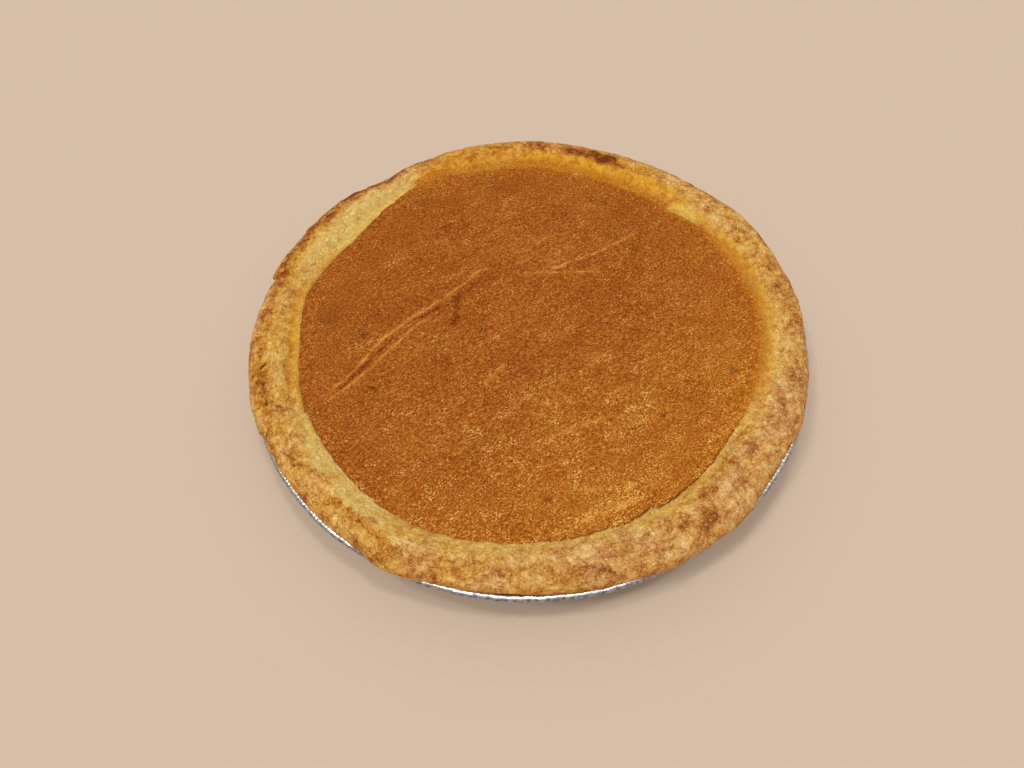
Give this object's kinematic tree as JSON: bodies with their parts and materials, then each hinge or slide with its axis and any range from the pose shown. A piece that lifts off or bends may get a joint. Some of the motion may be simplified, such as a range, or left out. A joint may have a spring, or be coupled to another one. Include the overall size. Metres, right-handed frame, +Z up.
{
  "type": "pumpkin pie",
  "caption": "Whole round pumpkin pie in its shallow foil tin, with a thick hand-formed pastry rim and a smooth baked filling.",
  "frame": {"origin": "centre of the tin's base, on the surface that the tin stands on", "axes": "+Z up through the middle of the pie; -Y is the side nearest the viewer and +X is to the viewer's right"},
  "size_m": [0.2422, 0.242, 0.0362],
  "materials": {
    "foil": "bright pressed foil, lightly crinkled",
    "pastry": "baked shortcrust pastry, mottled cream, gold and brown, matt with a slight egg sheen",
    "filling": "set pumpkin custard, orange brown, finely grained, moist sheen"
  },
  "bodies": {
    "root": {"foil_tin": "foil", "crust": "pastry", "filling": "filling"}
  },
  "joints": []
}
